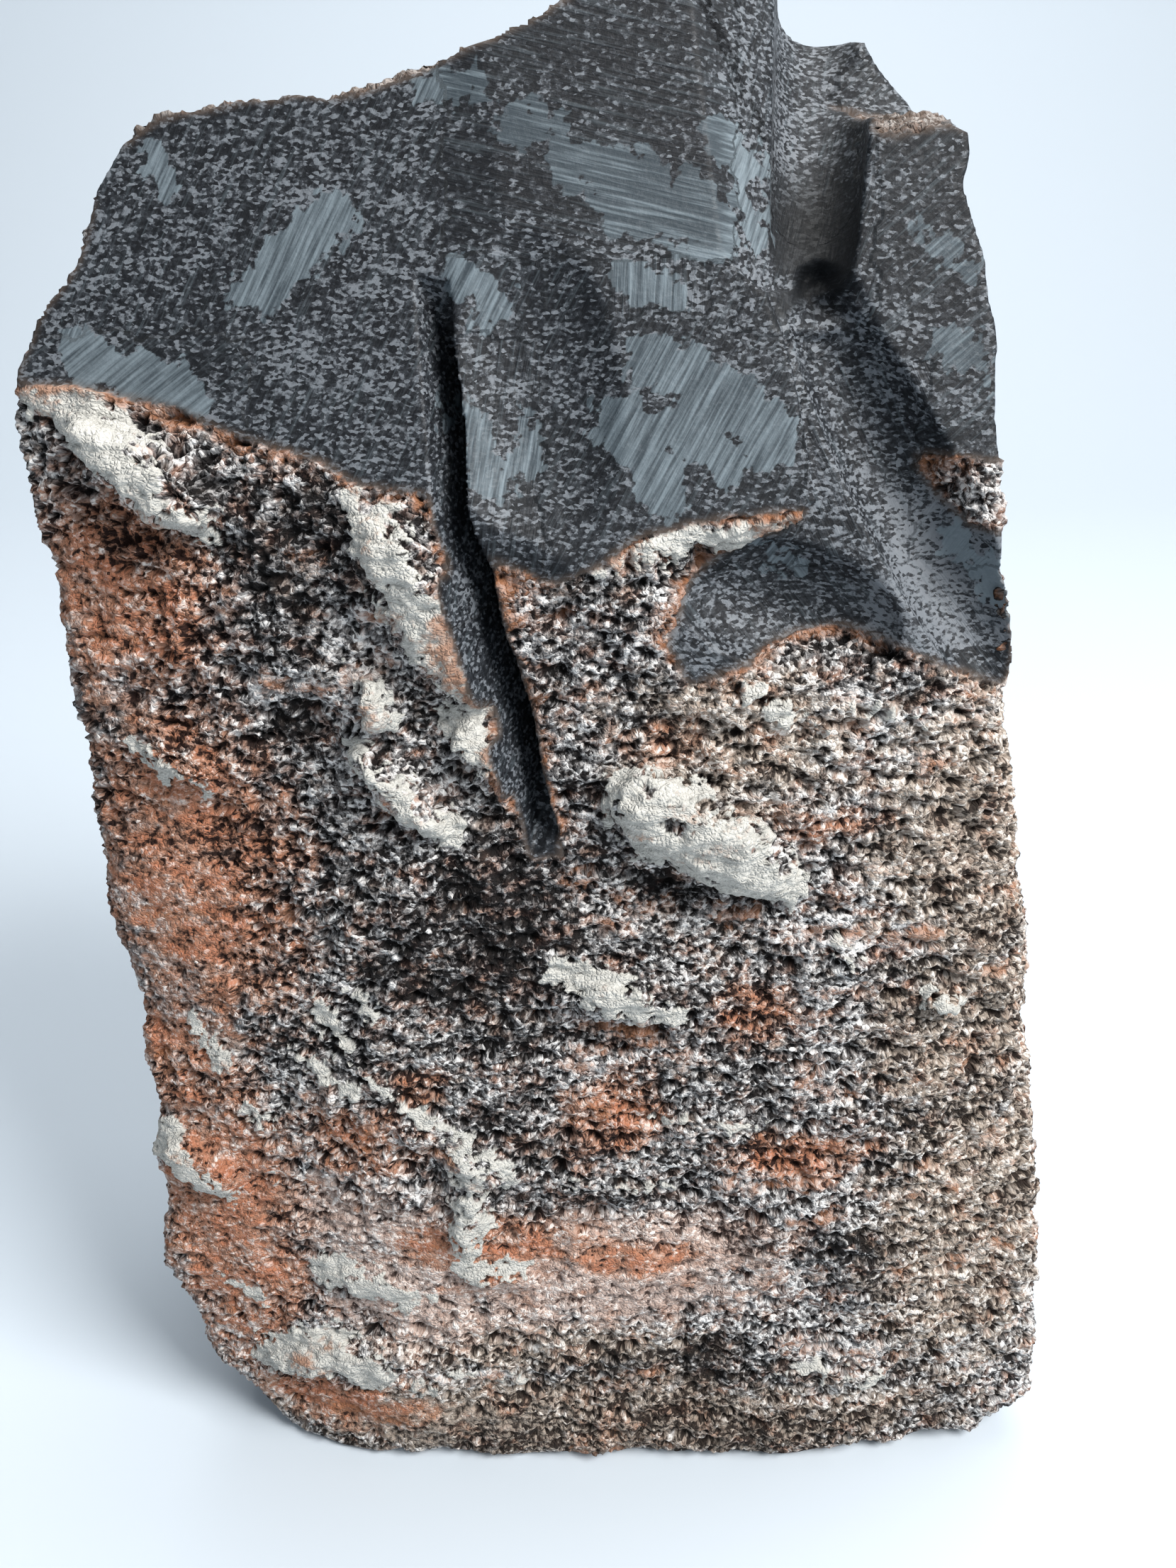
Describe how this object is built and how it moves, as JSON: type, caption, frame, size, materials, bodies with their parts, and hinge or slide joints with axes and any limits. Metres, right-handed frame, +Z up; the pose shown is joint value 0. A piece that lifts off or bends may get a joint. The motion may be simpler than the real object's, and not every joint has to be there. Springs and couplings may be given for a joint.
{
  "type": "cumberlandite specimen",
  "caption": "Block of cumberlandite: a pitted, weathered stone with raised feldspar laths, whose upper end is ground to flat facets and cut by a slot, grooves and a round channel.",
  "frame": {"origin": "middle of the footprint, on the surface that the stone stands on", "axes": "+Z up along the stone's height, +X across its broad face, -Y out of the face seen in the picture"},
  "size_m": [0.0772, 0.0455, 0.1163],
  "materials": {
    "stone": "matte, weathered rust brown below and ground dark grey above"
  },
  "bodies": {
    "root": {"stone": "stone"}
  },
  "joints": []
}
